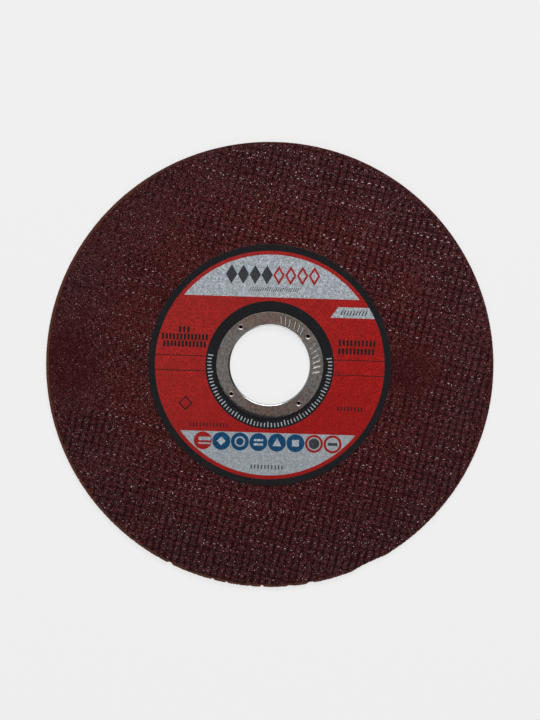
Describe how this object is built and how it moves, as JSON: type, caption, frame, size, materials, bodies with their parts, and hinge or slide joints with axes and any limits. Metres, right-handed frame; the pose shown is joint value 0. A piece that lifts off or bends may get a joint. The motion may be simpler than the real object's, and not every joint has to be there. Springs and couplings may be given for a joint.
{
  "type": "cut off wheel",
  "caption": "Thin flat abrasive cut-off wheel with a glass weave in both faces, a round printed label and a stamped steel arbor ring in its bore, worn with small chips at the rim.",
  "frame": {"origin": "on the bore axis at the plane that the wheel lies on, the weave crowns of its back", "axes": "+Z along the bore axis out of the labelled front, +Y towards the top of the label"},
  "size_m": [0.125, 0.125, 0.0014],
  "materials": {
    "abrasive": "resin-bonded grain with a glass weave, matt",
    "label_paper": "printed metallised paper, satin",
    "ring_steel": "tin-plated sheet steel, dull and scuffed"
  },
  "bodies": {
    "root": {"abrasive_disc": "abrasive", "label": "label_paper", "arbor_ring": "ring_steel"}
  },
  "joints": []
}
